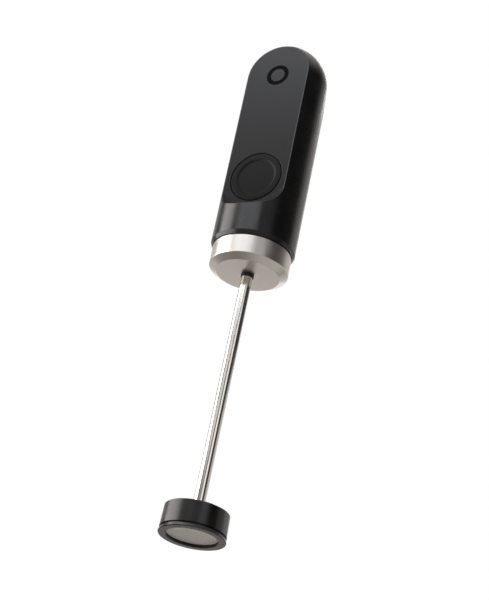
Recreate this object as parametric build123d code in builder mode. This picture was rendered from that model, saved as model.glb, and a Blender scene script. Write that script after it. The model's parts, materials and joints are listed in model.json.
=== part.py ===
"""Rechargeable handheld milk frother.

A black round-topped handle with a flat front panel and a dished round button stands on a
stainless base. A motor in the handle spins a 5 mm steel spindle, and the spindle spins a
shrouded impeller with a clip-on mesh screen under it.

Frame: +Z is the spindle axis, pointing from the screen to the handle. The origin is the
centre of the screen frame's flat underside. The front panel faces -Y. Millimetres.
"""

import math
import os

from build123d import *

# Driving dimensions of the outside.
BODY_R = 18.4  # handle barrel and dome radius
TOTAL_H = 236.2  # underside of the screen to the top of the dome
WALL = 2.4  # handle wall
SHELL_Z = 130.75  # bottom face of the handle shell
SHELL_BEVEL_R = 0.9  # bevel round the bottom of the shell, across
SHELL_BEVEL_H = 1.65  # and up
FLAT_Y = 11.0  # distance of the front flat from the axis
FOOT_Z = 145.35  # lowest point of the scoop that ends the flat
FOOT_ARC_R = 22.0  # the scoop's foot is an arc, seen from the front
COVE_R = 5.0  # and a hollow curve leads out from the flat to the barrel
SCOOP_HALF_W = 19.0
EDGE_BREAK = 0.35  # rounded edge round the scoop

BUTTON_Z = 163.0  # height of the button's centre
BUTTON_R = 11.9
BUTTON_GAP = 0.16
BUTTON_EDGE_R = 0.5
BUTTON_TRAVEL = 0.4
DISH_R = 9.7  # outer rim of the button's dish
DISH_FLOOR_R = 8.1
DISH_DEPTH = 0.42

BASE_R = 17.2  # stainless base
BASE_Z = 120.0
BASE_TOP_Z = 130.35
BASE_FACE_R = 13.9  # flat underside of the base, inside its bevel
BASE_BEVEL_H = 2.0

SHAFT_R = 2.5
SHAFT_FOOT_Z = 5.2
SHAFT_TOP_Z = 139.0
HEAD_TOP_Z = 11.6
HEAD_TOP_R = 13.5
HEAD_FOOT_Z = 2.2
HEAD_FOOT_R = 13.8
FRAME_R = 14.0  # screen frame
FRAME_SHOULDER_Z = 1.4
FRAME_SHOULDER_R = 13.6
SCREEN_R = 10.9  # clear opening of the screen
MESH_Z = 1.3  # underside of the mesh
MESH_T = 0.25
MESH_EDGE_R = 11.5

# Inside the handle.
DOME_Z = TOTAL_H - BODY_R
BORE_R = BODY_R - WALL
INNER_FLAT_Y = 9.3  # inside face of the front wall
PANEL_T = 1.0
PANEL_INSET = 0.45  # width of the shell's lip round the panel
PANEL_EASE = 0.03  # gap between the panel and the lip
PANEL_FOOT_R = 21.0  # foot of the panel, seen from the front
PANEL_CORNER_R = 10.5
BUTTON_HOLE_EDGE_R = 0.4
FLAT_HALF_W = math.sqrt(BODY_R**2 - FLAT_Y**2)
STEP_Z = FOOT_Z - 2.05  # the full round bore ends here

CLEAR = 0.1  # clearance between parts that slide together at assembly
RUNNING = 0.04  # running clearance, on radius
SCREW_HOLE_EASE = 0.02  # a screw's thread is plain, and just clears its hole

PLATE_Z = 143.5  # chassis plate that carries the motor
MOTOR_Z = 146.0  # front face of the motor, on top of that plate
MOTOR_R = 10.05  # 130-size motor: round sides
MOTOR_FLAT_Y = 7.55  # and flat sides
MOTOR_WALL = 0.8
MOTOR_LENGTH = 25.1
MOTOR_BACK_Z = MOTOR_Z + MOTOR_LENGTH
BELL_T = 2.1
MID_PLATE_Z = 174.5
MID_PLATE_T = 2.0
LEAD_Z = (MOTOR_BACK_Z + BELL_T + MID_PLATE_Z) / 2

CELL_R = 9.15  # 18500 cell
CELL_Z = 177.0
CELL_LENGTH = 49.5
CELL_Y = 1.5
CELL_TOP_Z = CELL_Z + CELL_LENGTH

BOARD_FRONT_Y = 8.6
BOARD_T = 0.8
BOARD_BACK_Y = BOARD_FRONT_Y - BOARD_T
BOARD_HALF_W = 12.4
BOARD_FOOT_Z = 146.6
BOARD_TOP_Z = 196.0
BOARD_CORNER_R = 1.0
BOARD_SCREW_R = 0.75
BOARD_SCREW_L = 4.0
BOARD_SCREWS = [(x, z) for x in (-11.4, 11.4) for z in (148.2, 194.0)]

RAIL_X = (10.3, 12.9)  # chassis side rails
RAIL_Y = (-BOARD_BACK_Y, -3.6)
RAIL_TOP_Z = 207.0

POST_CIRCLE_R = 11.6  # screws that hold the chassis to the base
POST_R = 1.9
POST_ANGLES = (0, 90, 180)
POST_TOP_Z = 131.0
BASE_SCREW_R = 1.0
MOTOR_SCREW_X = 6.6

SEAL_R = 5.0  # one bore in the base holds the lip seal and the bush
SEAL_Z = 121.4
SEAL_NOSE_R = 2.8
SEAL_NOSE_Z = 118.6
BUSH_Z = 124.2
CLIP_Z = 130.35
CLIP_T = 0.5

MOTOR_SHAFT_R = 1.0
MOTOR_SHAFT_Z = (139.4, 173.8)
COUPLING_R = 4.0
COUPLING_Z = (133.0, 144.2)
COUPLING_STEP_Z = 139.2

PORT_Z = 158.0  # USB-C socket, at the back
PORT_SIZE = (8.94, 3.26)
PORT_Y = (9.4, 16.7)
PORT_POCKET = (12.4, 6.8)
PORT_POCKET_Y = 16.9
CHARGE_BOARD_Y = (8.6, 9.4)

BLADES = 6
HUB_R = 4.4
HUB_Z = (4.8, 13.2)
INSERT_R = 3.2
INSERT_TOP_Z = 12.4
SHROUD_BORE_R = 12.4

BUTTON_AXIS = Axis((0, 0, BUTTON_Z), (0, 1, 0))
FRONT = Plane.XZ  # local x is +X, local y is +Z, and its normal is -Y


def front_plane(distance):
    """The plane that faces -Y, this far in front of the axis."""
    return FRONT.offset(distance)


def back_plane(y, z):
    """A plane that faces +Y, centred on the axis at height z."""
    return Plane(origin=(0, y, z), x_dir=(1, 0, 0), z_dir=(0, 1, 0))


def write(builder, name):
    """Labels a finished piece and writes it as one STEP file."""
    builder.part.label = name
    export_step(builder.part, f"parts/{name}.step")


def on_outside(point):
    """Whether a point lies on the handle's barrel or on its dome."""
    rise = max(0.0, point.Z - DOME_Z)
    return abs(math.hypot(point.X, point.Y, rise) - BODY_R) < 0.01


def ring_profile(points):
    """A closed profile of (radius, height) points, for turning about the axis."""
    with BuildSketch(FRONT) as profile:
        with BuildLine():
            Polyline(*points, close=True)
        make_face()
    return profile.sketch


def turned(*points):
    """A solid of revolution about +Z from (radius, height) points."""
    revolve(ring_profile(points), axis=Axis.Z)


def block(x, y, z, mode=Mode.ADD):
    """A box between two x, two y and two z values."""
    centre = tuple((low + high) / 2 for low, high in (x, y, z))
    with Locations(centre):
        Box(x[1] - x[0], y[1] - y[0], z[1] - z[0], mode=mode)


def post(x, y, z, radius, mode=Mode.ADD):
    """A vertical cylinder at x, y between two heights."""
    with Locations((x, y, z[0])):
        Cylinder(
            radius,
            z[1] - z[0],
            align=(Align.CENTER, Align.CENTER, Align.MIN),
            mode=mode,
        )


def scoop(depth):
    """The room in front of the flat and above its foot, grown this far into the handle."""
    foot_r = FOOT_ARC_R + depth
    centre_z = FOOT_Z + FOOT_ARC_R
    corner_z = centre_z - math.sqrt(foot_r**2 - SCOOP_HALF_W**2)
    with BuildPart() as room:
        with BuildSketch(front_plane(FLAT_Y - depth)):
            with BuildLine():
                ThreePointArc(
                    (-SCOOP_HALF_W, corner_z),
                    (0, centre_z - foot_r),
                    (SCOOP_HALF_W, corner_z),
                )
                Polyline(
                    (SCOOP_HALF_W, corner_z),
                    (SCOOP_HALF_W, TOTAL_H + 1),
                    (-SCOOP_HALF_W, TOTAL_H + 1),
                    (-SCOOP_HALF_W, corner_z),
                )
            make_face()
        extrude(amount=BODY_R)
        foot = [
            e
            for e in room.edges().filter_by(GeomType.CIRCLE)
            if abs(e.center().Y + FLAT_Y - depth) < 0.01
        ]
        fillet(foot, COVE_R + depth)
    return room.part


def panel_outline(inset):
    """The panel's outline: an arched top, straight sides and a shallow arc for its foot."""
    w = FLAT_HALF_W - inset
    r = PANEL_CORNER_R
    foot_z = FOOT_Z + inset
    turn = math.asin((w - r) / (PANEL_FOOT_R - r))
    join_x = PANEL_FOOT_R * math.sin(turn)
    join_z = foot_z + PANEL_FOOT_R * (1 - math.cos(turn))
    side_z = join_z + r * math.cos(turn)
    with BuildSketch(Plane.XY) as outline:
        with BuildLine():
            ThreePointArc((-join_x, join_z), (0, foot_z), (join_x, join_z))
            RadiusArc((join_x, join_z), (w, side_z), -r)
            Line((w, side_z), (w, DOME_Z))
            ThreePointArc((w, DOME_Z), (0, DOME_Z + w), (-w, DOME_Z))
            Line((-w, DOME_Z), (-w, side_z))
            RadiusArc((-w, side_z), (-join_x, join_z), -r)
        make_face()
    return outline.sketch


def panel_layer(inset):
    """The panel's solid: a layer of even thickness behind the scoop, inside its outline."""
    with BuildPart() as layer:
        with BuildSketch(front_plane(INNER_FLAT_Y)):
            add(panel_outline(inset))
        extrude(amount=BODY_R)
        add(scoop(PANEL_T), mode=Mode.INTERSECT)
        add(scoop(0), mode=Mode.SUBTRACT)
    return layer.part


def motor_outline(inset):
    """Section of the motor: a circle with two flat sides."""
    with BuildSketch(Plane.XY) as outline:
        Circle(MOTOR_R - inset)
        Rectangle(
            4 * MOTOR_R, 2 * (MOTOR_FLAT_Y - inset), mode=Mode.INTERSECT
        )
    return outline.sketch


def cut_circle(radius, front_y, centre_y=0.0):
    """A circle cut straight across its front, at this distance in front of the axis."""
    with BuildSketch(Plane.XY) as outline:
        with Locations((0, centre_y)):
            Circle(radius)
        with Locations((0, -front_y)):
            Rectangle(
                4 * radius,
                4 * radius,
                align=(Align.CENTER, Align.MIN),
                mode=Mode.INTERSECT,
            )
    return outline.sketch


def base_posts():
    """Centres of the three screw posts."""
    return [
        (
            POST_CIRCLE_R * math.cos(math.radians(a)),
            POST_CIRCLE_R * math.sin(math.radians(a)),
        )
        for a in POST_ANGLES
    ]


os.makedirs("parts", exist_ok=True)

# Handle shell: a domed tube with a flat, a panel recess, a button opening and a socket pocket.
with BuildPart() as cavity:
    with BuildSketch(FRONT):
        with BuildLine():
            Polyline((0, DOME_Z + BORE_R), (0, STEP_Z), (BORE_R, STEP_Z), (BORE_R, DOME_Z))
            RadiusArc((BORE_R, DOME_Z), (0, DOME_Z + BORE_R), -BORE_R)
        make_face()
    revolve(axis=Axis.Z)
    block((-BODY_R, BODY_R), (-BODY_R, -INNER_FLAT_Y), (STEP_Z, TOTAL_H), Mode.SUBTRACT)
    post(0, 0, (SHELL_Z, STEP_Z), BORE_R)

with BuildPart() as handle_shell:
    with BuildSketch(FRONT):
        with BuildLine():
            Polyline(
                (0, DOME_Z + BODY_R),
                (0, SHELL_Z),
                (BODY_R - SHELL_BEVEL_R, SHELL_Z),
                (BODY_R, SHELL_Z + SHELL_BEVEL_H),
                (BODY_R, DOME_Z),
            )
            RadiusArc((BODY_R, DOME_Z), (0, DOME_Z + BODY_R), -BODY_R)
        make_face()
    revolve(axis=Axis.Z)
    add(scoop(0), mode=Mode.SUBTRACT)
    rim = [e for e in handle_shell.edges() if on_outside(e @ 0.5) and (e @ 0.5).Y < 0.01 - FLAT_Y]
    fillet(rim, EDGE_BREAK)
    add(cavity.part, mode=Mode.SUBTRACT)
    add(panel_layer(PANEL_INSET), mode=Mode.SUBTRACT)
    with BuildSketch(front_plane(FLAT_Y)):
        with Locations((0, BUTTON_Z)):
            Circle(BUTTON_R + BUTTON_GAP + CLEAR)
    extrude(amount=-2 * WALL, mode=Mode.SUBTRACT)
    with BuildSketch(back_plane(PORT_POCKET_Y, PORT_Z)):
        SlotOverall(*PORT_POCKET)
    extrude(amount=WALL, mode=Mode.SUBTRACT)
    with BuildSketch(back_plane(PORT_POCKET_Y, PORT_Z)):
        SlotOverall(PORT_SIZE[0] + 0.3, PORT_SIZE[1] + 0.3)
    extrude(amount=-2 * WALL, mode=Mode.SUBTRACT)
write(handle_shell, "handle_shell")

# Front panel: it lines the scoop, and has the button's hole and the emblem's recess.
EMBLEM_Z = 216.8
EMBLEM_R = 5.3
EMBLEM_BORE_R = 3.3
EMBLEM_T = 0.4
with BuildPart() as front_panel:
    add(panel_layer(PANEL_INSET + PANEL_EASE))
    with BuildSketch(front_plane(FLAT_Y)):
        with Locations((0, BUTTON_Z)):
            Circle(BUTTON_R + BUTTON_GAP)
    extrude(amount=2 * PANEL_T, both=True, mode=Mode.SUBTRACT)
    hole_edge = [
        e
        for e in front_panel.edges().filter_by(GeomType.CIRCLE)
        if abs(e.radius - BUTTON_R - BUTTON_GAP) < 0.01 and abs(e.center().Y + FLAT_Y) < 0.01
    ]
    fillet(hole_edge, BUTTON_HOLE_EDGE_R)
    with BuildSketch(front_plane(FLAT_Y)):
        with Locations((0, EMBLEM_Z)):
            Circle(EMBLEM_R)
            Circle(EMBLEM_BORE_R, mode=Mode.SUBTRACT)
    extrude(amount=-EMBLEM_T, mode=Mode.SUBTRACT)
write(front_panel, "front_panel")

# Emblem: a plain ring, let into the panel.
with BuildPart() as emblem_inlay:
    with BuildSketch(front_plane(FLAT_Y - 0.03)):
        with Locations((0, EMBLEM_Z)):
            Circle(EMBLEM_R - 0.02)
            Circle(EMBLEM_BORE_R + 0.02, mode=Mode.SUBTRACT)
    extrude(amount=-EMBLEM_T + 0.03)
write(emblem_inlay, "emblem_inlay")

# Power button: a dished cap with a boss behind it.
CAP_BACK_Y = 9.75
BOSS_R = 7.0
BOSS_END_Y = 9.2
BOSS_POCKET_R = 4.2
DISH_MIDDLE = ((DISH_R + DISH_FLOOR_R) / 2, -FLAT_Y + DISH_DEPTH / 2)
with BuildPart() as power_button:
    with BuildSketch(Plane.XY.offset(BUTTON_Z)):
        with BuildLine():
            Polyline(
                (0, -FLAT_Y + DISH_DEPTH),
                (0, -CAP_BACK_Y),
                (BOSS_POCKET_R, -CAP_BACK_Y),
                (BOSS_POCKET_R, -BOSS_END_Y),
                (BOSS_R, -BOSS_END_Y),
                (BOSS_R, -CAP_BACK_Y),
                (BUTTON_R, -CAP_BACK_Y),
                (BUTTON_R, -FLAT_Y + BUTTON_EDGE_R),
            )
            RadiusArc(
                (BUTTON_R, -FLAT_Y + BUTTON_EDGE_R),
                (BUTTON_R - BUTTON_EDGE_R, -FLAT_Y),
                BUTTON_EDGE_R,
            )
            Line((BUTTON_R - BUTTON_EDGE_R, -FLAT_Y), (DISH_R, -FLAT_Y))
            # An S-shaped slope of two arcs leads down into the flat-floored dish.
            TangentArc((DISH_R, -FLAT_Y), DISH_MIDDLE, tangent=(-1, 0))
            TangentArc((DISH_FLOOR_R, -FLAT_Y + DISH_DEPTH), DISH_MIDDLE, tangent=(1, 0))
            Line((DISH_FLOOR_R, -FLAT_Y + DISH_DEPTH), (0, -FLAT_Y + DISH_DEPTH))
        make_face()
    revolve(axis=BUTTON_AXIS)
write(power_button, "power_button")

WEB_R = 12.8  # silicone web behind the button
WEB_T = 0.4
with BuildPart() as button_seal:
    with BuildSketch(front_plane(INNER_FLAT_Y)):
        with Locations((0, BUTTON_Z)):
            Circle(WEB_R)
            Circle(BOSS_R + BUTTON_GAP, mode=Mode.SUBTRACT)
    extrude(amount=-WEB_T)
write(button_seal, "button_seal")

# Tactile switch on the board, behind the middle of the button.
SWITCH_W = 4.6
SWITCH_H = 0.55
STEM_R = 1.1
STEM_FOOT_Y = BOARD_FRONT_Y + BUTTON_TRAVEL + CLEAR
with BuildPart() as switch_body:
    with BuildSketch(front_plane(BOARD_FRONT_Y)):
        with Locations((0, BUTTON_Z)):
            RectangleRounded(SWITCH_W, SWITCH_W, 0.4)
            Circle(STEM_R + 0.15, mode=Mode.SUBTRACT)
    extrude(amount=SWITCH_H)
write(switch_body, "switch_body")

with BuildPart() as switch_stem:
    with BuildSketch(front_plane(STEM_FOOT_Y)):
        with Locations((0, BUTTON_Z)):
            Circle(STEM_R)
    extrude(amount=CAP_BACK_Y - STEM_FOOT_Y)
write(switch_stem, "switch_stem")

# Control board with its components and screws.
with BuildPart() as control_board:
    block(
        (-BOARD_HALF_W, BOARD_HALF_W),
        (-BOARD_FRONT_Y, -BOARD_BACK_Y),
        (BOARD_FOOT_Z, BOARD_TOP_Z),
    )
    fillet(control_board.edges().filter_by(Axis.Y), BOARD_CORNER_R)
    with BuildSketch(front_plane(BOARD_FRONT_Y)):
        with Locations(BOARD_SCREWS):
            Circle(BOARD_SCREW_R + CLEAR)
    extrude(amount=-BOARD_T, mode=Mode.SUBTRACT)
write(control_board, "control_board")

COMPONENTS = [  # x, z, width, height, thickness
    (-4.0, 183.5, 5.0, 5.0, 0.55),
    (4.5, 185.5, 3.0, 3.0, 0.55),
    (-6.0, 190.5, 3.0, 1.6, 0.6),
    (1.0, 190.0, 2.0, 1.2, 0.5),
    (6.5, 180.5, 2.0, 1.2, 0.5),
    (8.5, 187.0, 1.0, 2.0, 0.5),
    (-8.6, 182.0, 1.0, 2.0, 0.5),
    (1.2, 179.0, 1.6, 0.8, 0.45),
]
with BuildPart() as board_components:
    for x, z, width, height, thick in COMPONENTS:
        block(
            (x - width / 2, x + width / 2),
            (-BOARD_FRONT_Y - thick, -BOARD_FRONT_Y),
            (z - height / 2, z + height / 2),
        )
write(board_components, "board_components")

BOARD_SCREW_HEAD_R = 1.25
BOARD_SCREW_HEAD_H = 0.5
with BuildPart() as board_screws:
    with BuildSketch(front_plane(BOARD_FRONT_Y)):
        with Locations(BOARD_SCREWS):
            Circle(BOARD_SCREW_HEAD_R)
    extrude(amount=BOARD_SCREW_HEAD_H)
    with BuildSketch(front_plane(BOARD_FRONT_Y)):
        with Locations(BOARD_SCREWS):
            Circle(BOARD_SCREW_R)
    extrude(amount=-BOARD_SCREW_L)
write(board_screws, "board_screws")

# Chassis: motor plate on three legs, two side rails, a mid plate and a hoop round the cell.
HOOP_Z = (200.0, RAIL_TOP_Z)
HOOP_FRONT_Y = INNER_FLAT_Y - 0.3
HOOP_WALL = 1.6
CHASSIS_R = BORE_R - 0.3
COUPLING_ROOM = 1.0
CELL_POCKET = 0.3  # the mid plate's seat for the cell
CELL_EASE = 0.15
WIRE_HOLE_Y = 6.0
WIRE_HOLE_R = 3.0
with BuildPart() as chassis:
    with BuildSketch(Plane.XY.offset(PLATE_Z)):
        add(cut_circle(CHASSIS_R, HOOP_FRONT_Y))
    extrude(amount=MOTOR_Z - PLATE_Z)
    with BuildSketch(Plane.XY.offset(MID_PLATE_Z)):
        add(cut_circle(CHASSIS_R, BOARD_BACK_Y))
    extrude(amount=MID_PLATE_T)
    for side in (-1, 1):
        xs = sorted(side * x for x in RAIL_X)
        block(xs, RAIL_Y, (PLATE_Z, RAIL_TOP_Z))
    with BuildSketch(Plane.XY.offset(HOOP_Z[0])):
        add(cut_circle(CELL_R + HOOP_WALL, HOOP_FRONT_Y, CELL_Y))
        with Locations((0, RAIL_Y[0])):
            Rectangle(
                2 * RAIL_X[1], RAIL_Y[1] - RAIL_Y[0], align=(Align.CENTER, Align.MIN)
            )
    extrude(amount=HOOP_Z[1] - HOOP_Z[0])
    for x, y in base_posts():
        post(x, y, (POST_TOP_Z, MOTOR_Z), POST_R)
    # Holes for the cell, the coupling, the wires and the screws.
    post(0, CELL_Y, (CELL_Z - CELL_POCKET, RAIL_TOP_Z), CELL_R + CELL_EASE, Mode.SUBTRACT)
    post(0, 0, (PLATE_Z, MOTOR_Z), COUPLING_R + COUPLING_ROOM, Mode.SUBTRACT)
    post(
        0,
        WIRE_HOLE_Y,
        (MID_PLATE_Z, MID_PLATE_Z + MID_PLATE_T),
        WIRE_HOLE_R,
        Mode.SUBTRACT,
    )
    for x, y in base_posts():
        post(x, y, (POST_TOP_Z, MOTOR_Z), BASE_SCREW_R + CLEAR, Mode.SUBTRACT)
    for side in (-1, 1):
        post(
            side * MOTOR_SCREW_X,
            0,
            (PLATE_Z, MOTOR_Z),
            BASE_SCREW_R + CLEAR,
            Mode.SUBTRACT,
        )
    with BuildSketch(front_plane(BOARD_BACK_Y)):
        with Locations(BOARD_SCREWS):
            Circle(BOARD_SCREW_R + SCREW_HOLE_EASE)
    extrude(amount=-BOARD_SCREW_L, mode=Mode.SUBTRACT)
write(chassis, "chassis")

# Cell with its end tabs, pad and lead.
CELL_EDGE_R = 0.6
with BuildPart() as battery_cell:
    post(0, CELL_Y, (CELL_Z, CELL_TOP_Z), CELL_R)
    fillet(battery_cell.edges().filter_by(GeomType.CIRCLE), CELL_EDGE_R)
write(battery_cell, "battery_cell")

TAB_T = 0.2
LOWER_TAB_X = (4.0, 7.0)
UPPER_TAB_X = (-7.5, 2.5)
TAB_BACK_Y = 4.0
with BuildPart() as battery_tabs:
    block(LOWER_TAB_X, (-BOARD_BACK_Y, TAB_BACK_Y), (CELL_Z - TAB_T, CELL_Z))
    block(UPPER_TAB_X, (-TAB_BACK_Y / 2, TAB_BACK_Y), (CELL_TOP_Z, CELL_TOP_Z + TAB_T))
write(battery_tabs, "battery_tabs")

PAD_R = 4.0
PAD_XY = (4.5, 4.5)
PAD_Z = (CELL_TOP_Z + TAB_T + 0.1, CELL_TOP_Z + 3.3)
with BuildPart() as battery_pad:
    post(*PAD_XY, PAD_Z, PAD_R)
write(battery_pad, "battery_pad")

LEAD_R = 0.45
LEAD_X = -6.0
LEAD_Y = (-1.0, -8.35)
LEAD_TOP_Z = CELL_TOP_Z + TAB_T + LEAD_R
LEAD_BEND_R = 2.0
with BuildPart() as battery_lead:
    with BuildLine() as route:
        FilletPolyline(
            (LEAD_X, LEAD_Y[0], LEAD_TOP_Z),
            (LEAD_X, LEAD_Y[1], LEAD_TOP_Z),
            (LEAD_X, LEAD_Y[1], BOARD_TOP_Z),
            radius=LEAD_BEND_R,
        )
    with BuildSketch(Plane(route.line @ 0, z_dir=route.line % 0)):
        Circle(LEAD_R)
    sweep()
write(battery_lead, "battery_lead")

# Charging board and socket at the back.
CHARGE_BOARD_X = (-9.0, 9.0)
SOCKET_WALL = 0.3
SOCKET_BACK_T = 0.6
with BuildPart() as charge_board:
    block(CHARGE_BOARD_X, CHARGE_BOARD_Y, (MOTOR_Z, MID_PLATE_Z))
write(charge_board, "charge_board")

with BuildPart() as usb_socket:
    with BuildSketch(back_plane(PORT_Y[0], PORT_Z)):
        SlotOverall(*PORT_SIZE)
    extrude(amount=PORT_Y[1] - PORT_Y[0])
    with BuildSketch(back_plane(PORT_Y[0] + SOCKET_BACK_T, PORT_Z)):
        SlotOverall(PORT_SIZE[0] - 2 * SOCKET_WALL, PORT_SIZE[1] - 2 * SOCKET_WALL)
    extrude(amount=PORT_Y[1] - PORT_Y[0], mode=Mode.SUBTRACT)
write(usb_socket, "usb_socket")

TONGUE_SIZE = (6.7, 0.7)
TONGUE_CORNER_R = 0.2
with BuildPart() as usb_tongue:
    with BuildSketch(back_plane(PORT_Y[0] + SOCKET_BACK_T, PORT_Z)):
        RectangleRounded(*TONGUE_SIZE, TONGUE_CORNER_R)
    extrude(amount=PORT_Y[1] - PORT_Y[0] - 2 * SOCKET_BACK_T)
write(usb_tongue, "usb_tongue")

FINE_LEAD_R = 0.4
CHARGE_LEAD_X = 8.4
with BuildPart() as charge_leads:
    for side in (-1, 1):
        with Locations((side * CHARGE_LEAD_X, -BOARD_BACK_Y, LEAD_Z)):
            Cylinder(
                FINE_LEAD_R,
                CHARGE_BOARD_Y[0] + BOARD_BACK_Y,
                rotation=(-90, 0, 0),
                align=(Align.CENTER, Align.CENTER, Align.MIN),
            )
write(charge_leads, "charge_leads")

# Motor: can, magnets, end bell, brushes, terminals and bushes.
NOSE_R = 3.05  # round boss on the can's front face
NOSE_H = 1.2
FRONT_BUSH_R = 2.2
REAR_BUSH_R = 2.0
with BuildPart() as motor_can:
    with BuildSketch(Plane.XY.offset(MOTOR_Z)):
        add(motor_outline(0))
    extrude(amount=MOTOR_LENGTH)
    with BuildSketch(Plane.XY.offset(MOTOR_Z + MOTOR_WALL)):
        add(motor_outline(MOTOR_WALL))
    extrude(amount=MOTOR_LENGTH, mode=Mode.SUBTRACT)
    post(0, 0, (MOTOR_Z - NOSE_H, MOTOR_Z), NOSE_R)
    post(0, 0, (MOTOR_Z - NOSE_H, MOTOR_Z + MOTOR_WALL), FRONT_BUSH_R, Mode.SUBTRACT)
    for side in (-1, 1):
        post(
            side * MOTOR_SCREW_X,
            0,
            (MOTOR_Z, MOTOR_Z + MOTOR_WALL),
            BASE_SCREW_R + SCREW_HOLE_EASE,
            Mode.SUBTRACT,
        )
write(motor_can, "motor_can")

MAGNET_BORE_R = 6.8
MAGNET_WIDTH = 10.88
MAGNET_Z = (149.5, 164.5)
with BuildPart() as motor_magnets:
    with BuildSketch(Plane.XY.offset(MAGNET_Z[0])):
        Circle(MOTOR_R - MOTOR_WALL - 0.02)
        Circle(MAGNET_BORE_R, mode=Mode.SUBTRACT)
        Rectangle(4 * MOTOR_R, MAGNET_WIDTH, mode=Mode.INTERSECT)
    extrude(amount=MAGNET_Z[1] - MAGNET_Z[0])
write(motor_magnets, "motor_magnets")

BELL_PLUG = 1.5  # depth of the bell inside the can
with BuildPart() as motor_end_bell:
    with BuildSketch(Plane.XY.offset(MOTOR_BACK_Z)):
        add(motor_outline(0))
    extrude(amount=BELL_T)
    with BuildSketch(Plane.XY.offset(MOTOR_BACK_Z)):
        add(motor_outline(MOTOR_WALL + 0.05))
    extrude(amount=-BELL_PLUG)
    post(0, 0, (MOTOR_BACK_Z - BELL_PLUG, MOTOR_BACK_Z + BELL_T), REAR_BUSH_R, Mode.SUBTRACT)
write(motor_end_bell, "motor_end_bell")

BRUSH_X = (2.4, 3.4)
BRUSH_Y = (-0.8, 0.8)
BRUSH_Z = (165.0, 168.0)
BRUSH_ARM_T = 0.3
BRUSH_ARM_Y = (-1.2, 1.2)
with BuildPart() as motor_brushes:
    for side in (-1, 1):
        block(sorted(side * x for x in BRUSH_X), BRUSH_Y, BRUSH_Z)
        block(
            sorted(side * x for x in (BRUSH_X[1], BRUSH_X[1] + BRUSH_ARM_T)),
            BRUSH_ARM_Y,
            (BRUSH_Z[0], MOTOR_BACK_Z - BELL_PLUG),
        )
write(motor_brushes, "motor_brushes")

TERMINAL_X = (5.2, 5.6)
TERMINAL_Y = (-1.0, 1.0)
with BuildPart() as motor_terminals:
    for side in (-1, 1):
        block(
            sorted(side * x for x in TERMINAL_X),
            TERMINAL_Y,
            (MOTOR_BACK_Z + BELL_T, MID_PLATE_Z - 0.1),
        )
write(motor_terminals, "motor_terminals")

with BuildPart() as motor_leads:
    for side in (-1, 1):
        with Locations((side * sum(TERMINAL_X) / 2, -BOARD_BACK_Y, LEAD_Z)):
            Cylinder(
                FINE_LEAD_R,
                BOARD_BACK_Y + TERMINAL_Y[0],
                rotation=(-90, 0, 0),
                align=(Align.CENTER, Align.CENTER, Align.MIN),
            )
write(motor_leads, "motor_leads")

FRONT_BUSH_Z = (MOTOR_Z - 1.0, MOTOR_Z + 1.6)
with BuildPart() as motor_front_bush:
    post(0, 0, FRONT_BUSH_Z, FRONT_BUSH_R)
    post(0, 0, FRONT_BUSH_Z, MOTOR_SHAFT_R + RUNNING, Mode.SUBTRACT)
write(motor_front_bush, "motor_front_bush")

REAR_BUSH_Z = (MOTOR_BACK_Z - 0.8, MOTOR_BACK_Z + BELL_T)
with BuildPart() as motor_rear_bush:
    post(0, 0, REAR_BUSH_Z, REAR_BUSH_R)
    post(0, 0, REAR_BUSH_Z, MOTOR_SHAFT_R + RUNNING, Mode.SUBTRACT)
write(motor_rear_bush, "motor_rear_bush")

SCREW_HEAD_H = 1.3
SLOT_DEPTH = 0.6
MOTOR_SCREW_HEAD_R = 1.7
MOTOR_SCREW_TOP_Z = MOTOR_Z + 1.6
with BuildPart() as motor_screws:
    for side in (-1, 1):
        x = side * MOTOR_SCREW_X
        post(x, 0, (PLATE_Z - SCREW_HEAD_H, PLATE_Z), MOTOR_SCREW_HEAD_R)
        post(x, 0, (PLATE_Z, MOTOR_SCREW_TOP_Z), BASE_SCREW_R)
        slot_z = (PLATE_Z - SCREW_HEAD_H, PLATE_Z - SCREW_HEAD_H + SLOT_DEPTH)
        block((x - 1.1, x + 1.1), (-0.25, 0.25), slot_z, Mode.SUBTRACT)
write(motor_screws, "motor_screws")

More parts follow.
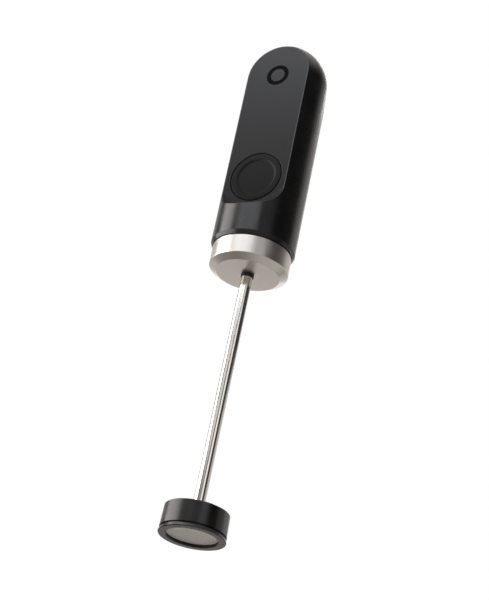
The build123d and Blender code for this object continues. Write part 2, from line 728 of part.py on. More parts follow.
# Stainless base: bevelled cup with a spigot, a seal and bush bore, and three screw posts.
SPIGOT_R = BORE_R - CLEAR
SPIGOT_TOP_Z = 137.0
CUP_BORE_R = 13.6
CUP_FLOOR_Z = 122.8
GROOVE_R = 14.7
GROOVE_Z = (133.2, 134.6)
NOSE_HOLE_R = SEAL_NOSE_R + 0.05
BUSH_WALL = 2.0
BUSH_WALL_TOP_Z = POST_TOP_Z + 0.4
CLIP_EASE = 0.05
CLIP_GROOVE_R = SEAL_R + 0.4
BASE_EDGE_R = 0.25
SCREW_HOLE_Z = 124.5
with BuildPart() as steel_base:
    turned(
        (NOSE_HOLE_R, BASE_Z),
        (BASE_FACE_R, BASE_Z),
        (BASE_R, BASE_Z + BASE_BEVEL_H),
        (BASE_R, BASE_TOP_Z),
        (SPIGOT_R, BASE_TOP_Z),
        (SPIGOT_R, GROOVE_Z[0]),
        (GROOVE_R, GROOVE_Z[0]),
        (GROOVE_R, GROOVE_Z[1]),
        (SPIGOT_R, GROOVE_Z[1]),
        (SPIGOT_R, SPIGOT_TOP_Z),
        (CUP_BORE_R, SPIGOT_TOP_Z),
        (CUP_BORE_R, CUP_FLOOR_Z),
        (SEAL_R + BUSH_WALL, CUP_FLOOR_Z),
        (SEAL_R + BUSH_WALL, BUSH_WALL_TOP_Z),
        (SEAL_R, BUSH_WALL_TOP_Z),
        (SEAL_R, CLIP_Z + CLIP_T + CLIP_EASE),
        (CLIP_GROOVE_R, CLIP_Z + CLIP_T + CLIP_EASE),
        (CLIP_GROOVE_R, CLIP_Z - CLIP_EASE),
        (SEAL_R, CLIP_Z - CLIP_EASE),
        (SEAL_R, SEAL_Z),
        (NOSE_HOLE_R, SEAL_Z),
    )
    for x, y in base_posts():
        post(x, y, (CUP_FLOOR_Z, POST_TOP_Z), POST_R)
    for x, y in base_posts():
        post(x, y, (SCREW_HOLE_Z, POST_TOP_Z), BASE_SCREW_R + SCREW_HOLE_EASE, Mode.SUBTRACT)
    crisp = [
        e
        for e in steel_base.edges().filter_by(GeomType.CIRCLE)
        if e.radius > BASE_FACE_R - 0.01
        and (abs(e.center().Z - BASE_Z) < 0.01 or abs(e.center().Z - BASE_Z - BASE_BEVEL_H) < 0.01)
    ]
    fillet(crisp, BASE_EDGE_R)
write(steel_base, "steel_base")

with BuildPart() as base_gasket:
    turned(
        (SPIGOT_R + 0.05, BASE_TOP_Z),
        (BASE_R - 0.3, BASE_TOP_Z),
        (BASE_R - 0.3, SHELL_Z),
        (SPIGOT_R + 0.05, SHELL_Z),
    )
write(base_gasket, "base_gasket")

with BuildPart() as base_o_ring:
    with BuildSketch(FRONT):
        with Locations(((GROOVE_R + BORE_R) / 2 - 0.02, sum(GROOVE_Z) / 2)):
            Circle((BORE_R - GROOVE_R) / 2 - 0.04)
    revolve(axis=Axis.Z)
write(base_o_ring, "base_o_ring")

BASE_SCREW_HEAD_R = 1.5
BASE_SCREW_FOOT_Z = 126.0
CROSS_L = 1.0  # half the length of the cross slot
CROSS_W = 0.22
with BuildPart() as base_screws:
    slot_z = (MOTOR_Z + SCREW_HEAD_H - SLOT_DEPTH, MOTOR_Z + SCREW_HEAD_H)
    for x, y in base_posts():
        post(x, y, (MOTOR_Z, MOTOR_Z + SCREW_HEAD_H), BASE_SCREW_HEAD_R)
        post(x, y, (BASE_SCREW_FOOT_Z, MOTOR_Z), BASE_SCREW_R)
    for x, y in base_posts():
        block((x - CROSS_L, x + CROSS_L), (y - CROSS_W, y + CROSS_W), slot_z, Mode.SUBTRACT)
        block((x - CROSS_W, x + CROSS_W), (y - CROSS_L, y + CROSS_L), slot_z, Mode.SUBTRACT)
write(base_screws, "base_screws")

SEAL_INNER_R = SHAFT_R + 1.2  # the seal's wall stands off the shaft here
with BuildPart() as lip_seal:
    turned(
        (SHAFT_R + RUNNING, SEAL_NOSE_Z + 0.1),
        (SHAFT_R + 0.12, SEAL_NOSE_Z),
        (SEAL_NOSE_R - 0.12, SEAL_NOSE_Z),
        (SEAL_NOSE_R, SEAL_NOSE_Z + 0.15),
        (SEAL_NOSE_R, SEAL_Z),
        (SEAL_R - 0.03, SEAL_Z),
        (SEAL_R - 0.03, BUSH_Z),
        (SEAL_INNER_R, BUSH_Z),
        (SEAL_INNER_R, SEAL_Z + 1.2),
        (SHAFT_R + RUNNING, SEAL_Z + 0.4),
    )
write(lip_seal, "lip_seal")

BUSH_BREAK = 0.3
with BuildPart() as lower_bush:
    post(0, 0, (BUSH_Z, CLIP_Z - CLIP_EASE), SEAL_R - 0.02)
    post(0, 0, (BUSH_Z, CLIP_Z - CLIP_EASE), SHAFT_R + RUNNING, Mode.SUBTRACT)
    chamfer(lower_bush.edges().filter_by(GeomType.CIRCLE), BUSH_BREAK)
write(lower_bush, "lower_bush")

CLIP_R = (SEAL_R - 0.8, CLIP_GROOVE_R - CLIP_EASE)
CLIP_GAP_X = (-1.2, 1.2)
with BuildPart() as bush_circlip:
    post(0, 0, (CLIP_Z, CLIP_Z + CLIP_T), CLIP_R[1])
    post(0, 0, (CLIP_Z, CLIP_Z + CLIP_T), CLIP_R[0], Mode.SUBTRACT)
    block(CLIP_GAP_X, (0, 2 * SEAL_R), (CLIP_Z, CLIP_Z + CLIP_T), Mode.SUBTRACT)
write(bush_circlip, "bush_circlip")

# Spindle, coupling and the motor's turning parts.
SHAFT_BREAK = 0.3
COUPLING_BREAK = 0.4
with BuildPart() as spindle_shaft:
    post(0, 0, (SHAFT_FOOT_Z, SHAFT_TOP_Z), SHAFT_R)
    chamfer(spindle_shaft.edges().filter_by(GeomType.CIRCLE), SHAFT_BREAK)
write(spindle_shaft, "spindle_shaft")

GRUB_Z = 136.0
GRUB_R = 0.9
GRUB_LENGTH = 1.3
GRUB_KEY_R = 0.45
with BuildPart() as shaft_coupling:
    post(0, 0, COUPLING_Z, COUPLING_R)
    chamfer(shaft_coupling.edges().filter_by(GeomType.CIRCLE), COUPLING_BREAK)
    post(0, 0, (COUPLING_Z[0], COUPLING_STEP_Z), SHAFT_R, Mode.SUBTRACT)
    post(0, 0, (COUPLING_STEP_Z, COUPLING_Z[1]), MOTOR_SHAFT_R, Mode.SUBTRACT)
    with BuildSketch(back_plane(0, GRUB_Z)):
        Circle(GRUB_R + SCREW_HOLE_EASE)
    extrude(amount=COUPLING_R + 1, mode=Mode.SUBTRACT)
write(shaft_coupling, "shaft_coupling")

with BuildPart() as coupling_grub_screw:
    with BuildSketch(back_plane(SHAFT_R, GRUB_Z)):
        Circle(GRUB_R)
    extrude(amount=GRUB_LENGTH)
    with BuildSketch(back_plane(SHAFT_R + GRUB_LENGTH, GRUB_Z)):
        RegularPolygon(GRUB_KEY_R, 6)
    extrude(amount=-GRUB_LENGTH / 2, mode=Mode.SUBTRACT)
write(coupling_grub_screw, "coupling_grub_screw")

with BuildPart() as motor_shaft:
    post(0, 0, MOTOR_SHAFT_Z, MOTOR_SHAFT_R)
write(motor_shaft, "motor_shaft")

CORE_Z = (151.0, 161.0)
CORE_R = 6.4
POLES = 3
CORE_RIM = 1.0
CORE_GAP = 1.4  # between one pole's rim and the next
POLE_W = 2.2
CORE_HUB_R = 2.4
with BuildPart() as armature_core:
    with BuildSketch(Plane.XY.offset(CORE_Z[0])):
        Circle(CORE_R)
        Circle(CORE_R - CORE_RIM, mode=Mode.SUBTRACT)
        with PolarLocations(CORE_R, POLES, start_angle=180 / POLES):
            Rectangle(3 * CORE_RIM, CORE_GAP, mode=Mode.SUBTRACT)
        with PolarLocations(CORE_R / 2, POLES):
            Rectangle(CORE_R - CORE_RIM / 2, POLE_W)
        Circle(CORE_HUB_R)
        Circle(MOTOR_SHAFT_R, mode=Mode.SUBTRACT)
    extrude(amount=CORE_Z[1] - CORE_Z[0])
write(armature_core, "armature_core")

COIL_X = 3.8
COIL_SIZE = (1.8, 4.8, CORE_Z[1] - CORE_Z[0] + 2.8)
COIL_EASE = 0.04
with BuildPart() as armature_windings:
    with PolarLocations(0, POLES):
        with Locations((COIL_X, 0, sum(CORE_Z) / 2)):
            Box(*COIL_SIZE)
    fillet(armature_windings.edges().filter_by(Axis.Z), 0.4)
    with PolarLocations(0, POLES):
        with Locations((COIL_X, 0, sum(CORE_Z) / 2)):
            Box(
                2 * COIL_SIZE[0],
                POLE_W + COIL_EASE,
                CORE_Z[1] - CORE_Z[0] + COIL_EASE,
                mode=Mode.SUBTRACT,
            )
write(armature_windings, "armature_windings")

COMMUTATOR_R = 2.3
COMMUTATOR_Z = (164.0, 169.0)
COMMUTATOR_SLOT = (1.2, 0.3)
with BuildPart() as commutator:
    post(0, 0, COMMUTATOR_Z, COMMUTATOR_R)
    post(0, 0, COMMUTATOR_Z, MOTOR_SHAFT_R, Mode.SUBTRACT)
    with PolarLocations(COMMUTATOR_R, POLES):
        with Locations((0, 0, sum(COMMUTATOR_Z) / 2)):
            Box(*COMMUTATOR_SLOT, COMMUTATOR_Z[1] - COMMUTATOR_Z[0], mode=Mode.SUBTRACT)
write(commutator, "commutator")

# Impeller: shroud, hub and pitched blades in one moulding, on a brass insert.
BLADE_TILT = 20
BLADE_T = 1.2
BLADE_H = 6.0
BLADE_MIDDLE = (8.5, 7.9)  # radius and height
BLADE_L = 9.0
SKIRT_BORE_R = 13.05
SKIRT_SEAT_Z = 4.6
with BuildPart() as blades:
    with Locations((0, 0, BLADE_MIDDLE[1])):
        with PolarLocations(BLADE_MIDDLE[0], BLADES):
            Box(BLADE_L, BLADE_T, BLADE_H, rotation=(BLADE_TILT, 0, 0))
    with Locations((0, 0, BLADE_MIDDLE[1])):
        Cylinder(SHROUD_BORE_R + 0.3, 2 * BLADE_H, mode=Mode.INTERSECT)
        Cylinder(INSERT_R + 0.6, 2 * BLADE_H, mode=Mode.SUBTRACT)

with BuildPart() as impeller:
    turned(
        (HEAD_FOOT_R, HEAD_FOOT_Z),
        (HEAD_TOP_R, HEAD_TOP_Z - 0.3),
        (HEAD_TOP_R - 0.3, HEAD_TOP_Z),
        (SHROUD_BORE_R + 0.3, HEAD_TOP_Z),
        (SHROUD_BORE_R, HEAD_TOP_Z - 0.3),
        (SHROUD_BORE_R, SKIRT_SEAT_Z),
        (SKIRT_BORE_R, SKIRT_SEAT_Z),
        (SKIRT_BORE_R, HEAD_FOOT_Z),
    )
    turned(
        (INSERT_R, HUB_Z[0]),
        (HUB_R, HUB_Z[0]),
        (HUB_R, HUB_Z[1] - 1.0),
        (HUB_R - 1.0, HUB_Z[1]),
        (SHAFT_R + 0.05, HUB_Z[1]),
        (SHAFT_R + 0.05, INSERT_TOP_Z),
        (INSERT_R, INSERT_TOP_Z),
    )
    add(blades.part)
write(impeller, "impeller")

with BuildPart() as hub_insert:
    post(0, 0, (HUB_Z[0], INSERT_TOP_Z), INSERT_R)
    post(0, 0, (HUB_Z[0], INSERT_TOP_Z), SHAFT_R, Mode.SUBTRACT)
write(hub_insert, "hub_insert")

# Screen: a frame that clips into the shroud, and the mesh in its groove.
SKIRT_LIP_R = SKIRT_BORE_R - 0.8
with BuildPart() as screen_frame:
    turned(
        (SCREEN_R, 0.1),
        (SCREEN_R + 0.1, 0),
        (FRAME_R - 0.25, 0),
        (FRAME_R, 0.25),
        (FRAME_SHOULDER_R, FRAME_SHOULDER_Z),
        (SKIRT_BORE_R - CLEAR, FRAME_SHOULDER_Z),
        (SKIRT_BORE_R - CLEAR, SKIRT_SEAT_Z - 0.7),
        (SKIRT_BORE_R - CLEAR - 0.3, SKIRT_SEAT_Z - 0.4),
        (SKIRT_LIP_R, SKIRT_SEAT_Z - 0.4),
        (SKIRT_LIP_R, MESH_Z + 2 * MESH_T + 0.3),
        (SCREEN_R, MESH_Z + 2 * MESH_T + 0.3),
        (SCREEN_R, MESH_Z + MESH_T),
        (MESH_EDGE_R, MESH_Z + MESH_T),
        (MESH_EDGE_R, MESH_Z),
        (SCREEN_R, MESH_Z),
    )
write(screen_frame, "screen_frame")

with BuildPart() as screen_mesh:
    post(0, 0, (MESH_Z, MESH_Z + MESH_T), MESH_EDGE_R)
write(screen_mesh, "screen_mesh")
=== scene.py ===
"""The looks of a handheld milk frother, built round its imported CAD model.

Everything is in metres and in the model's own frame: +Z runs up the spindle, the front panel
faces -Y, and the foot of the mesh screen is at z = 0.
"""

import json
import math

import bpy
from mathutils import Matrix, Vector


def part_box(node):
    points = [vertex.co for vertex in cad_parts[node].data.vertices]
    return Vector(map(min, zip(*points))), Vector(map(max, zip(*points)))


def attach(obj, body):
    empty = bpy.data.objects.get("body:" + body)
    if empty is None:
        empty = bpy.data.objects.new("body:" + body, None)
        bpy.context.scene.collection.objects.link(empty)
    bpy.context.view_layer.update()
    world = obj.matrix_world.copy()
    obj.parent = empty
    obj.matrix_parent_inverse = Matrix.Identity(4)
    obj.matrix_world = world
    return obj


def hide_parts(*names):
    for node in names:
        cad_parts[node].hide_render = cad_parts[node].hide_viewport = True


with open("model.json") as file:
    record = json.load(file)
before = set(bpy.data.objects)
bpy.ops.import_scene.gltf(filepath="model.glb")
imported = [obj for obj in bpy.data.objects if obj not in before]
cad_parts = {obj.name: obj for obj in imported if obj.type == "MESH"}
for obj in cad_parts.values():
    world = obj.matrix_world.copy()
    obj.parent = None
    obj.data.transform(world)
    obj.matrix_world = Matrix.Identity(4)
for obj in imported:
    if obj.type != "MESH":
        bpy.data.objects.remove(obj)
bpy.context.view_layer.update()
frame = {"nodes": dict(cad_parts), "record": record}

MM = 0.001

# The camera, below the frother and to the right of its front, tipped to one side.
# A bearing is in degrees from the front (-Y) towards +X.
CAMERA_BEARING = 29.2
CAMERA_REACH = 0.6629  # from the spindle's axis
CAMERA_HEIGHT = -0.2199
LENS_BEARING = 29.12
LENS_ELEVATION = 26.33
LENS_ROLL = 11.96
LENS_MM = 104.4
SENSOR_MM = 36.0
NEAREST_SEEN = 0.01
FURTHEST_SEEN = 20.0


def compass(bearing, elevation=0.0):
    """A unit vector this many degrees from -Y towards +X, and above the horizon."""
    a, e = math.radians(bearing), math.radians(elevation)
    return Vector((math.sin(a) * math.cos(e), -math.cos(a) * math.cos(e), math.sin(e)))


def link(thing):
    """Puts a new object into the scene."""
    bpy.context.scene.collection.objects.link(thing)


def make_camera():
    data = bpy.data.cameras.new("camera")
    data.lens = LENS_MM
    data.sensor_width = SENSOR_MM
    data.clip_start = NEAREST_SEEN
    data.clip_end = FURTHEST_SEEN
    camera = bpy.data.objects.new("camera", data)
    link(camera)
    forward = -compass(LENS_BEARING, -LENS_ELEVATION)
    right = forward.cross(Vector((0, 0, 1))).normalized()
    up = right.cross(forward)
    roll = math.radians(LENS_ROLL)
    across = math.cos(roll) * right + math.sin(roll) * up
    upward = math.cos(roll) * up - math.sin(roll) * right
    turn = Matrix((across, upward, -forward)).transposed().to_4x4()
    place = compass(CAMERA_BEARING) * CAMERA_REACH + Vector((0, 0, CAMERA_HEIGHT))
    camera.matrix_world = Matrix.Translation(place) @ turn
    bpy.context.scene.camera = camera


class Graph:
    """A node tree, with short calls for the nodes that the materials share."""

    def __init__(self, tree):
        self.tree = tree
        self.tree.nodes.clear()

    def node(self, kind, **settings):
        made = self.tree.nodes.new(kind)
        for key, value in settings.items():
            setattr(made, key, value)
        return made

    def plug(self, value, socket):
        """Sets a socket to a plain value, or links another node's output to it."""
        if isinstance(value, bpy.types.NodeSocket):
            self.tree.links.new(value, socket)
        else:
            socket.default_value = value

    def math(self, operation, *values):
        made = self.node("ShaderNodeMath", operation=operation)
        for value, socket in zip(values, made.inputs):
            self.plug(value, socket)
        return made.outputs[0]

    def vector(self, operation, *values):
        made = self.node("ShaderNodeVectorMath", operation=operation)
        for value, socket in zip(values, made.inputs):
            self.plug(value, socket)
        return made.outputs["Value" if operation in ("DOT_PRODUCT", "LENGTH") else "Vector"]

    def spread(self, value, low, high, to_low, to_high, smooth=True):
        """Maps a value from one range to another, with soft ends if it is smooth."""
        made = self.node("ShaderNodeMapRange")
        made.interpolation_type = "SMOOTHSTEP" if smooth else "LINEAR"
        for item, socket in zip((value, low, high, to_low, to_high), made.inputs):
            self.plug(item, socket)
        return made.outputs[0]

    def millimetres(self, stretch=(1.0, 1.0, 1.0)):
        """Places on the piece itself, in millimetres."""
        where = self.node("ShaderNodeTexCoord").outputs["Object"]
        return self.vector("MULTIPLY", where, tuple(s / MM for s in stretch))

    def noise(self, places, per_mm, detail=2.0, rough=0.5):
        """A noise from 0 to 1, with this many blotches to a millimetre."""
        made = self.node("ShaderNodeTexNoise")
        self.plug(places, made.inputs["Vector"])
        made.inputs["Scale"].default_value = per_mm
        made.inputs["Detail"].default_value = detail
        made.inputs["Roughness"].default_value = rough
        return made.outputs["Fac"]

    def bump(self, height, depth_mm):
        made = self.node("ShaderNodeBump")
        made.inputs["Distance"].default_value = depth_mm * MM
        self.plug(height, made.inputs["Height"])
        return made.outputs["Normal"]

    def tint(self, factor, dark, light):
        made = self.node("ShaderNodeMix", data_type="RGBA")
        self.plug(factor, made.inputs["Factor"])
        made.inputs["A"].default_value = (*dark, 1.0)
        made.inputs["B"].default_value = (*light, 1.0)
        return made.outputs["Result"]

    def blend(self, factor, first, second):
        """Mixes two shaders."""
        made = self.node("ShaderNodeMixShader")
        for item, socket in zip((factor, first.outputs[0], second.outputs[0]), made.inputs):
            self.plug(item, socket)
        return made


def new_material(name, **values):
    """A principled material with plain values on its sockets. Returns the graph and the shader."""
    material = bpy.data.materials.new(name)
    material.use_nodes = True
    graph = Graph(material.node_tree)
    shader = graph.node("ShaderNodeBsdfPrincipled")
    output = graph.node("ShaderNodeOutputMaterial")
    graph.plug(shader.outputs[0], output.inputs["Surface"])
    for key, value in values.items():
        shader.inputs[key.replace("_", " ")].default_value = value
    return material, graph, shader


def finish(graph, shader, colour, roughness, normal):
    """Plugs a material's three maps into its shader."""
    graph.plug(colour, shader.inputs["Base Color"])
    graph.plug(roughness, shader.inputs["Roughness"])
    graph.plug(normal, shader.inputs["Normal"])


def scaled(colour, factor):
    return tuple(c * factor for c in colour)


# Most of a noise's values lie in the first span, and nearly all of them in the second.
NOISE_SPAN = (0.3, 0.7)
WIDE_NOISE_SPAN = (0.25, 0.75)

# Moulded and painted surfaces have handling marks about 9 mm across, and a fine grain.
MARKS_PER_MM = 0.11
MARKS_DETAIL = 4.0
FINE_GRAIN_MM = 0.22
GRAIN_DEPTH_MM = 0.004

# The front's colour carries painted shade: it darkens evenly from its top down to its foot, and its
# roughness rises evenly the same way. Heights are in millimetres.
FRONT_FOOT_Z = 150.0
FRONT_TOP_Z = 225.0
# Painted shade: the near-black colour at the front's foot.
FRONT_PAINTED_SHADE_COLOUR = (0.0015, 0.0015, 0.0015)
FRONT_FOOT_ROUGHNESS = 0.5
FRONT_TOP_ROUGHNESS = 0.27
FRONT_GRAIN_PER_MM = 6.2
FRONT_MARKS = 0.06  # how much of the change the handling marks make


def moulded(name, colour, roughness, grain_mm=FINE_GRAIN_MM, specular=0.5):
    """Plastic or paint with a fine spark-eroded grain and faint handling marks."""
    material, graph, shader = new_material(name, Specular_IOR_Level=specular)
    places = graph.millimetres()
    grain = graph.noise(places, 1 / grain_mm, detail=3.0)
    marks = graph.noise(places, MARKS_PER_MM, MARKS_DETAIL)
    shade = graph.tint(marks, scaled(colour, 0.9), scaled(colour, 1.1))
    rough = graph.spread(marks, *NOISE_SPAN, roughness - 0.02, roughness + 0.03)
    finish(graph, shader, shade, rough, graph.bump(grain, GRAIN_DEPTH_MM))
    return material


def front_paint_with_painted_shade(name, top_colour, specular):
    """The front's matte paint, with painted shade: its colour darkens from its top towards its
    foot, and its sheen falls off the same way.
    """
    material, graph, shader = new_material(name, Specular_IOR_Level=specular)
    places = graph.millimetres()
    height = graph.node("ShaderNodeSeparateXYZ")
    graph.plug(places, height.inputs[0])
    rise = graph.spread(height.outputs["Z"], FRONT_FOOT_Z, FRONT_TOP_Z, 0.0, 1.0, smooth=False)
    marks = graph.noise(places, MARKS_PER_MM, MARKS_DETAIL)
    level = graph.math("SUBTRACT", rise, FRONT_MARKS / 2)
    painted_shade_and_marks = graph.math("MULTIPLY_ADD", marks, FRONT_MARKS, level)
    # Painted shade: the colour darkens from the top down to the foot, with faint handling marks
    # mixed in.
    shade = graph.tint(painted_shade_and_marks, FRONT_PAINTED_SHADE_COLOUR, top_colour)
    ends = (FRONT_FOOT_ROUGHNESS, FRONT_TOP_ROUGHNESS)
    rough = graph.spread(painted_shade_and_marks, 0.0, 1.0, *ends, smooth=False)
    grain = graph.noise(places, FRONT_GRAIN_PER_MM, detail=3.0)
    finish(graph, shader, shade, rough, graph.bump(grain, GRAIN_DEPTH_MM))
    return material


def blasted_steel(name, colour, roughness):
    """Stainless steel with a bead-blasted skin: fine pits and cloudy patches."""
    material, graph, shader = new_material(name, Metallic=1.0)
    places = graph.millimetres()
    pits = graph.noise(places, per_mm=6.5)
    clouds = graph.noise(places, per_mm=0.16, detail=3.0)
    speckle = graph.noise(places, per_mm=2.4)
    shade = graph.tint(speckle, scaled(colour, 0.93), scaled(colour, 1.06))
    rough = graph.spread(clouds, *WIDE_NOISE_SPAN, roughness - 0.03, roughness + 0.04)
    finish(graph, shader, shade, rough, graph.bump(pits, depth_mm=0.006))
    return material


def polished_rod(name, colour, roughness):
    """Ground and polished rod, with faint streaks along it and cloudy patches."""
    material, graph, shader = new_material(name, Metallic=1.0)
    streaks = graph.noise(graph.millimetres(stretch=(1.0, 1.0, 0.03)), per_mm=1.1)
    clouds = graph.noise(graph.millimetres(), per_mm=0.15)
    shade = graph.tint(streaks, scaled(colour, 0.95), scaled(colour, 1.03))
    graph.plug(shade, shader.inputs["Base Color"])
    rough = graph.spread(clouds, *NOISE_SPAN, roughness, roughness + 0.04)
    graph.plug(rough, shader.inputs["Roughness"])
    return material


def machined_metal(name, colour, roughness):
    """Turned, stamped or plated metal of the small parts, with fine lines round it."""
    material, graph, shader = new_material(name, Metallic=1.0)
    lines = graph.noise(graph.millimetres(stretch=(1.0, 1.0, 5.0)), per_mm=2.5, detail=3.0)
    shade = graph.tint(lines, scaled(colour, 0.85), scaled(colour, 1.08))
    rough = graph.spread(lines, *NOISE_SPAN, roughness - 0.05, roughness + 0.08)
    finish(graph, shader, shade, rough, graph.bump(lines, depth_mm=0.003))
    return material


def soft_rubber(name, colour, roughness):
    """Rubber or foam with a dusty, uneven skin."""
    material, graph, shader = new_material(name, Specular_IOR_Level=0.35)
    skin = graph.noise(graph.millimetres(), per_mm=3.0, detail=5.0, rough=0.65)
    shade = graph.tint(skin, scaled(colour, 0.75), scaled(colour, 1.35))
    rough = graph.spread(skin, *NOISE_SPAN, roughness - 0.08, roughness + 0.08)
    finish(graph, shader, shade, rough, graph.bump(skin, depth_mm=0.02))
    return material


def circuit_board(name, colour):
    """Solder-masked board, with the tracks that show through the mask as paler lines."""
    material, graph, shader = new_material(name)
    places = graph.millimetres(stretch=(1.0, 0.0, 1.0))
    tracks = graph.node("ShaderNodeTexBrick")
    graph.plug(places, tracks.inputs["Vector"])
    tracks.inputs["Scale"].default_value = 0.55
    tracks.inputs["Mortar Size"].default_value = 0.06
    lines = tracks.outputs["Fac"]
    shade = graph.tint(lines, colour, scaled(colour, 2.2))
    skin = graph.noise(places, per_mm=1.2, detail=3.0)
    rough = graph.spread(skin, *NOISE_SPAN, 0.28, 0.4)
    finish(graph, shader, shade, rough, graph.bump(lines, depth_mm=0.02))
    return material


def wound_copper(name, colour):
    """Enamelled wire, wound in close turns."""
    material, graph, shader = new_material(name, Metallic=1.0)
    wave = graph.node("ShaderNodeTexWave", wave_type="BANDS", bands_direction="Z")
    graph.plug(graph.millimetres(), wave.inputs["Vector"])
    wave.inputs["Scale"].default_value = 1.6
    wave.inputs["Distortion"].default_value = 0.6
    turns = wave.outputs["Fac"]
    shade = graph.tint(turns, scaled(colour, 0.45), colour)
    rough = graph.spread(turns, 0.0, 1.0, 0.45, 0.28)
    finish(graph, shader, shade, rough, graph.bump(turns, depth_mm=0.08))
    return material


def make_materials():
    """One material for each slot of the record: its maker, its colour and what else it takes."""
    finishes = {
        "shell_black": (moulded, (0.0025, 0.0025, 0.0027), 0.27),
        # The front panel and the button carry painted shade that darkens them towards the foot.
        "panel_grey": (front_paint_with_painted_shade, (0.0235, 0.0238, 0.0258), 0.19),
        "emblem_black": (moulded, (0.002, 0.002, 0.0021), 0.6, FINE_GRAIN_MM, 0.04),
        "button_grey": (front_paint_with_painted_shade, (0.02, 0.02, 0.021), 0.11),
        "head_black": (moulded, (0.003, 0.003, 0.0032), 0.27, 0.18, 0.55),
        "switch_plastic": (moulded, (0.03, 0.03, 0.03), 0.4),
        "chip_black": (moulded, (0.015, 0.015, 0.017), 0.55),
        "chassis_plastic": (moulded, (0.55, 0.55, 0.53), 0.5),
        "bell_plastic": (moulded, (0.65, 0.64, 0.6), 0.45),
        "cell_wrap": (moulded, (0.02, 0.12, 0.36), 0.3, 1.5),
        "steel_satin": (blasted_steel, (0.6, 0.574, 0.548), 0.34),
        "steel_polished": (polished_rod, (0.72, 0.69, 0.66), 0.12),
        "mesh_steel": (machined_metal, (0.82, 0.79, 0.76), 0.32),
        "screw_steel": (machined_metal, (0.5, 0.5, 0.51), 0.35),
        "socket_steel": (machined_metal, (0.55, 0.55, 0.55), 0.3),
        "motor_steel": (machined_metal, (0.48, 0.48, 0.49), 0.34),
        "magnet": (machined_metal, (0.06, 0.06, 0.065), 0.6),
        "core_iron": (machined_metal, (0.25, 0.25, 0.26), 0.42),
        "nickel": (machined_metal, (0.6, 0.57, 0.5), 0.3),
        "brush_metal": (machined_metal, (0.7, 0.45, 0.25), 0.35),
        "bush_bronze": (machined_metal, (0.5, 0.33, 0.17), 0.4),
        "coupling_brass": (machined_metal, (0.72, 0.55, 0.27), 0.3),
        "copper": (wound_copper, (0.75, 0.35, 0.18)),
        "seal_rubber": (soft_rubber, (0.008, 0.008, 0.008), 0.55),
        "foam_rubber": (soft_rubber, (0.04, 0.04, 0.04), 0.85),
        "lead_red": (soft_rubber, (0.4, 0.02, 0.02), 0.4),
        "board_green": (circuit_board, (0.006, 0.07, 0.03)),
    }
    return {slot: maker(slot, *values) for slot, (maker, *values) in finishes.items()}


def dress(materials):
    """Gives each CAD node the material of its slot in the record."""
    for part in frame["record"]["subparts"]:
        mesh = frame["nodes"][part["node"]].data
        mesh.materials.clear()
        mesh.materials.append(materials[part["material_slot"]])


# The screen's weave.
WIRE_D = 0.15 * MM
WIRE_PITCH = 0.4 * MM
WIRE_SIDES = 6
STEPS_PER_PITCH = 2
WEAVE_RIM_GAP = 0.1 * MM
WEAVE_FILL = 0.95  # of the disc's thickness
WEAVE_TURN = math.radians(45)


def wire_points(offset, half_length, lift):
    """A wire's middle line along +X at y = offset: it passes over and under at each crossing."""
    steps = max(2, round(2 * half_length / WIRE_PITCH * STEPS_PER_PITCH))
    points = []
    for i in range(steps + 1):
        x = -half_length + 2 * half_length * i / steps
        points.append(Vector((x, offset, lift * math.cos(math.pi * x / WIRE_PITCH))))
    return points


def add_wire(points, across, vertices, faces):
    """A tube with flat sides round a wire's middle line. across is level, at right angles to it."""
    first = len(vertices)
    for i, point in enumerate(points):
        ahead = points[min(i + 1, len(points) - 1)] - points[max(i - 1, 0)]
        upward = across.cross(ahead).normalized()
        for side in range(WIRE_SIDES):
            angle = 2 * math.pi * side / WIRE_SIDES
            outward = math.cos(angle) * across + math.sin(angle) * upward
            vertices.append(point + WIRE_D / 2 * outward)
    for i in range(len(points) - 1):
        for side in range(WIRE_SIDES):
            a = first + i * WIRE_SIDES + side
            b = first + i * WIRE_SIDES + (side + 1) % WIRE_SIDES
            faces.append((a, b, b + WIRE_SIDES, a + WIRE_SIDES))
    last = first + (len(points) - 1) * WIRE_SIDES
    faces.append(tuple(range(first + WIRE_SIDES - 1, first - 1, -1)))
    faces.append(tuple(range(last, last + WIRE_SIDES)))


def woven_screen(materials):
    """A plain weave of round wires in the place of the screen's closed disc."""
    low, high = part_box("screen_mesh")
    radius = (high.x - low.x) / 2 - WEAVE_RIM_GAP
    middle = (low + high) / 2
    lift = ((high.z - low.z) - WIRE_D) / 2 * WEAVE_FILL
    turn = Matrix.Rotation(WEAVE_TURN, 3, "Z")
    vertices, faces = [], []
    count = math.floor(radius / WIRE_PITCH)
    for row in range(-count, count + 1):
        offset = (row + 0.5) * WIRE_PITCH
        if abs(offset) >= radius - WIRE_PITCH:
            continue
        half = math.sqrt(radius**2 - offset**2)
        over = lift if row % 2 else -lift
        warp = wire_points(offset, half, over)
        weft = [Vector((-p.y, p.x, p.z)) for p in wire_points(-offset, half, -over)]
        for points, across in ((warp, Vector((0, 1, 0))), (weft, Vector((-1, 0, 0)))):
            add_wire([middle + turn @ p for p in points], turn @ across, vertices, faces)
    mesh = bpy.data.meshes.new("screen_weave")
    mesh.from_pydata([tuple(v) for v in vertices], [], faces)
    mesh.shade_smooth()
    mesh.materials.append(materials["mesh_steel"])
    weave = bpy.data.objects.new("screen_weave", mesh)
    link(weave)
    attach(weave, "screen")
    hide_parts("screen_mesh")


# The studio. Bearings are taken from the camera's, so a light keeps its place in its view.
WORLD_LEVEL = 0.05  # the brightness between the patches
WORLD_COLOUR = (1.0, 0.955, 0.92, 1.0)
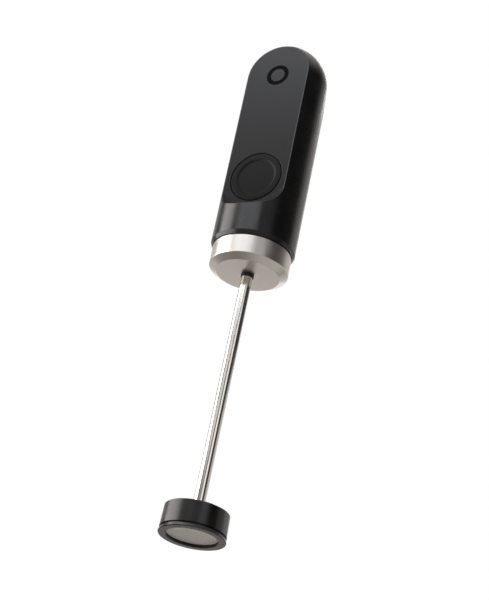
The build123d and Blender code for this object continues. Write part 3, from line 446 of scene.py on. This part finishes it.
# Each patch's bearing, elevation, half width of the bright middle and of the whole in degrees,
# and brightness.
WORLD_PATCHES = (
    (100, -65, 15, 45, 0.5),
    (180, -35, 10, 40, 0.13),
    (-130, -45, 10, 40, 0.22),
    (0, 90, 15, 50, 1.1),
    (-5, 12, 10, 40, 0.2),
    (0, -32, 25, 60, 0.4),
)
BACKDROP = (1.0, 1.0, 1.0, 1.0)

PLAIN = (1.0, 1.0, 1.0)
WARM = (1.0, 0.95, 0.91)
COOL = (0.94, 0.97, 1.02)

LIGHT_REACH = 0.6  # from the spindle's axis to each panel light
# Each panel light's bearing, height of its bottom and top, width, radiance and colour.
LIGHTS = {
    "front_panel": (-32, 0.42, 0.8, 0.66, 2.3, COOL),
    "front_panel_left": (-68, 0.62, 1.0, 0.3, 2.8, COOL),
    "front_fill": (-36, 0.26, 0.41, 0.45, 0.75, PLAIN),
    "left_strip": (-94, 0.3, 0.6, 0.42, 4.3, WARM),
    "left_foot": (-90, -0.15, 0.3, 0.72, 4.2, WARM),
    "low_card": (23, 0.18, 0.42, 0.28, 1.05, PLAIN),
    "back_left_card": (-152, -0.22, 0.55, 0.4, 0.6, WARM),
    "back_card": (176, -0.168, 0.6, 0.4, 1.25, WARM),
    "back_right_card": (136, -0.2, 0.9, 0.58, 0.65, WARM),
    "right_low_card": (100, -0.6, 0.34, 0.56, 0.5, WARM),
    "back_high": (160, 0.6, 1.0, 0.4, 3.5, WARM),
}


def make_world():
    """Dim warm surroundings with a few soft bright patches, and plain white to the camera."""
    world = bpy.data.worlds.new("studio")
    bpy.context.scene.world = world
    world.use_nodes = True
    graph = Graph(world.node_tree)
    direction = graph.node("ShaderNodeTexCoord").outputs["Generated"]
    level = WORLD_LEVEL
    for bearing, elevation, inner, outer, bright in WORLD_PATCHES:
        centre = compass(CAMERA_BEARING + bearing, elevation)
        cosine = graph.vector("DOT_PRODUCT", direction, tuple(centre))
        edge, middle = math.cos(math.radians(outer)), math.cos(math.radians(inner))
        level = graph.math("ADD", level, graph.spread(cosine, edge, middle, 0.0, bright))
    surroundings = graph.node("ShaderNodeBackground")
    surroundings.inputs["Color"].default_value = WORLD_COLOUR
    graph.plug(level, surroundings.inputs["Strength"])
    backdrop = graph.node("ShaderNodeBackground")
    backdrop.inputs["Color"].default_value = BACKDROP
    to_camera = graph.node("ShaderNodeLightPath").outputs["Is Camera Ray"]
    choose = graph.blend(to_camera, surroundings, backdrop)
    output = graph.node("ShaderNodeOutputWorld")
    graph.plug(choose.outputs[0], output.inputs["Surface"])


def softbox(name, bearing, bottom, top, width, radiance, colour):
    """An upright panel light that faces the spindle's axis."""
    data = bpy.data.lights.new(name, "AREA")
    data.shape = "RECTANGLE"
    data.size = width
    data.size_y = top - bottom
    data.energy = radiance * math.pi * width * (top - bottom)
    data.color = colour
    light = bpy.data.objects.new(name, data)
    outward = compass(CAMERA_BEARING + bearing)
    light.location = outward * LIGHT_REACH + Vector((0, 0, (bottom + top) / 2))
    light.rotation_euler = outward.to_track_quat("Z", "Y").to_euler()
    link(light)


FLOOR_HALF = 3.0
FLOOR_DROP = 0.4 * MM
FLOOR_COLOUR = (0.85, 0.85, 0.85, 1.0)
FADE_START = 0.12  # from the spindle's axis
FADE_END = 0.5


def make_floor():
    """A pale floor that fades into the backdrop. It can't be seen from below."""
    material = bpy.data.materials.new("floor")
    material.use_nodes = True
    graph = Graph(material.node_tree)
    near = graph.node("ShaderNodeBsdfDiffuse")
    near.inputs["Color"].default_value = FLOOR_COLOUR
    far = graph.node("ShaderNodeEmission")
    distance = graph.vector("LENGTH", graph.node("ShaderNodeTexCoord").outputs["Object"])
    top_side = graph.blend(graph.spread(distance, FADE_START, FADE_END, 0.0, 1.0), near, far)
    from_below = graph.node("ShaderNodeNewGeometry").outputs["Backfacing"]
    one_sided = graph.blend(from_below, top_side, graph.node("ShaderNodeBsdfTransparent"))
    output = graph.node("ShaderNodeOutputMaterial")
    graph.plug(one_sided.outputs[0], output.inputs["Surface"])
    corners = [(x * FLOOR_HALF, y * FLOOR_HALF, 0) for x, y in ((-1, -1), (1, -1), (1, 1), (-1, 1))]
    mesh = bpy.data.meshes.new("floor")
    mesh.from_pydata(corners, [], [(0, 1, 2, 3)])
    mesh.materials.append(material)
    floor = bpy.data.objects.new("floor", mesh)
    floor.location.z = -FLOOR_DROP
    link(floor)
    floor.visible_diffuse = False
    floor.visible_glossy = False
    floor.visible_transmission = False
    floor.visible_shadow = False


make_camera()
surface_materials = make_materials()
dress(surface_materials)
woven_screen(surface_materials)
make_world()
for light_name, light_values in LIGHTS.items():
    softbox(light_name, *light_values)
make_floor()
bpy.context.scene.view_settings.view_transform = "Standard"
